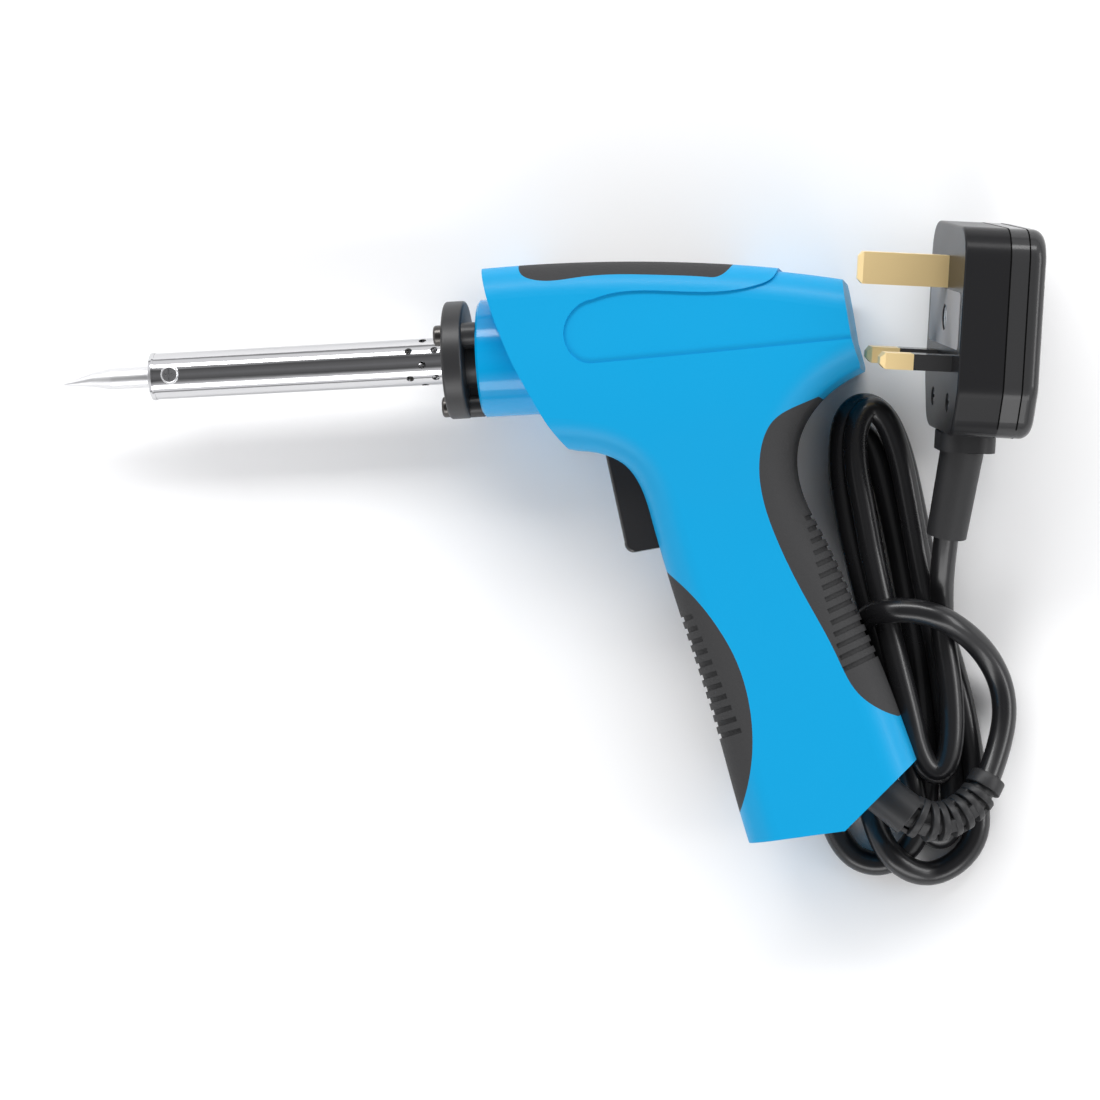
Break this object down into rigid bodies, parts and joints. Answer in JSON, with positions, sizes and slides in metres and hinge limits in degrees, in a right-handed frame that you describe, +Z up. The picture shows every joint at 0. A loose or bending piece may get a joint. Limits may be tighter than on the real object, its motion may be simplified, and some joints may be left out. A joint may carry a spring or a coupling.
{
  "type": "pistol-grip soldering iron",
  "caption": "Pistol-grip electric soldering iron with a chromed barrel, heat-shield flange, trigger, soft grip pads and a corded three-pin plug, lying on its side.",
  "frame": {"origin": "centre of the iron's footprint on the floor, under its right side, without the cord and plug", "axes": "+X from the tip to the rear of the housing, +Y from the handle's foot to the top, +Z up off the floor, out of the left side"},
  "size_m": [0.253, 0.1691, 0.0574],
  "materials": {
    "tip_metal": "satin",
    "bare_steel": "satin",
    "chrome": "polished",
    "screw_steel": "polished",
    "ceramic": "matte",
    "heater_wire": "satin",
    "mica": "satin",
    "black_phenolic": "satin",
    "blue_shell": "semi-gloss",
    "grip_rubber": "matte",
    "black_gloss": "gloss",
    "brass": "polished",
    "wire_white": "satin",
    "wire_brown": "satin",
    "wire_blue": "satin",
    "wire_green": "satin",
    "cord_black": "satin",
    "boot_rubber": "matte",
    "plug_black": "gloss",
    "label_grey": "matte"
  },
  "bodies": {
    "body": {"barrel_front_ring": "chrome", "barrel_tube": "chrome", "clamp_bush": "bare_steel", "cord_clamp": "black_phenolic", "cord_clamp_screws": "screw_steel", "cord_hank": "cord_black", "cord_inner": "cord_black", "cord_lead": "cord_black", "cord_tail": "cord_black", "earth_wire": "wire_green", "flange_screws": "screw_steel", "flange_spacer": "black_phenolic", "front_grip_pad": "grip_rubber", "heat_shield_flange": "black_phenolic", "heater_core": "ceramic", "heater_leads": "wire_white", "heater_winding": "heater_wire", "housing_screws": "screw_steel", "left_housing": "blue_shell", "live_wire": "wire_brown", "mica_wrap": "mica", "neutral_wire": "wire_blue", "nose_collar": "blue_shell", "plug_base": "plug_black", "plug_cord_grip": "plug_black", "plug_cover": "plug_black", "plug_cover_screw": "screw_steel", "plug_earth_pin": "brass", "plug_fuse": "ceramic", "plug_grip_screws": "screw_steel", "plug_label": "label_grey", "plug_live_pin": "brass", "plug_neck_boot": "boot_rubber", "plug_neutral_pin": "brass", "plug_pin_sleeves": "plug_black", "power_diode": "black_phenolic", "rear_grip_pad": "grip_rubber", "rear_insulator": "ceramic", "right_housing": "blue_shell", "strain_relief_boot": "boot_rubber", "switch_body": "black_phenolic", "switch_terminals": "brass", "switched_wire": "wire_brown", "tip_clamp_screw": "screw_steel", "tip_sleeve": "bare_steel", "top_pad": "grip_rubber", "trigger_pin": "bare_steel", "trigger_spring": "bare_steel", "wire_connectors": "ceramic"},
    "trigger": {"trigger": "black_gloss"},
    "plunger": {"switch_plunger": "black_gloss"},
    "tip": {"soldering_tip": "tip_metal"}
  },
  "joints": [
    {"name": "trigger_pivot", "type": "hinge", "parent": "body", "child": "trigger", "pos_m": [0.0365, 0.0296, 0.02], "axis": [0, 0, 1], "range_deg": [0, 9], "stiffness_Nm_per_rad": 0.12, "springref_deg": -17.19, "deforming": ["trigger_spring"]},
    {"name": "plunger_slide", "type": "slide", "parent": "body", "child": "plunger", "axis": [1, 0, 0], "range_m": [0, 0.0021]},
    {"name": "tip_slide", "type": "slide", "parent": "body", "child": "tip", "axis": [-1, 0, 0], "range_m": [0, 0.008]}
  ],
  "couplings": [
    {"joint": "plunger_slide", "follows": "trigger_pivot", "m_per_rad": 0.0125}
  ]
}
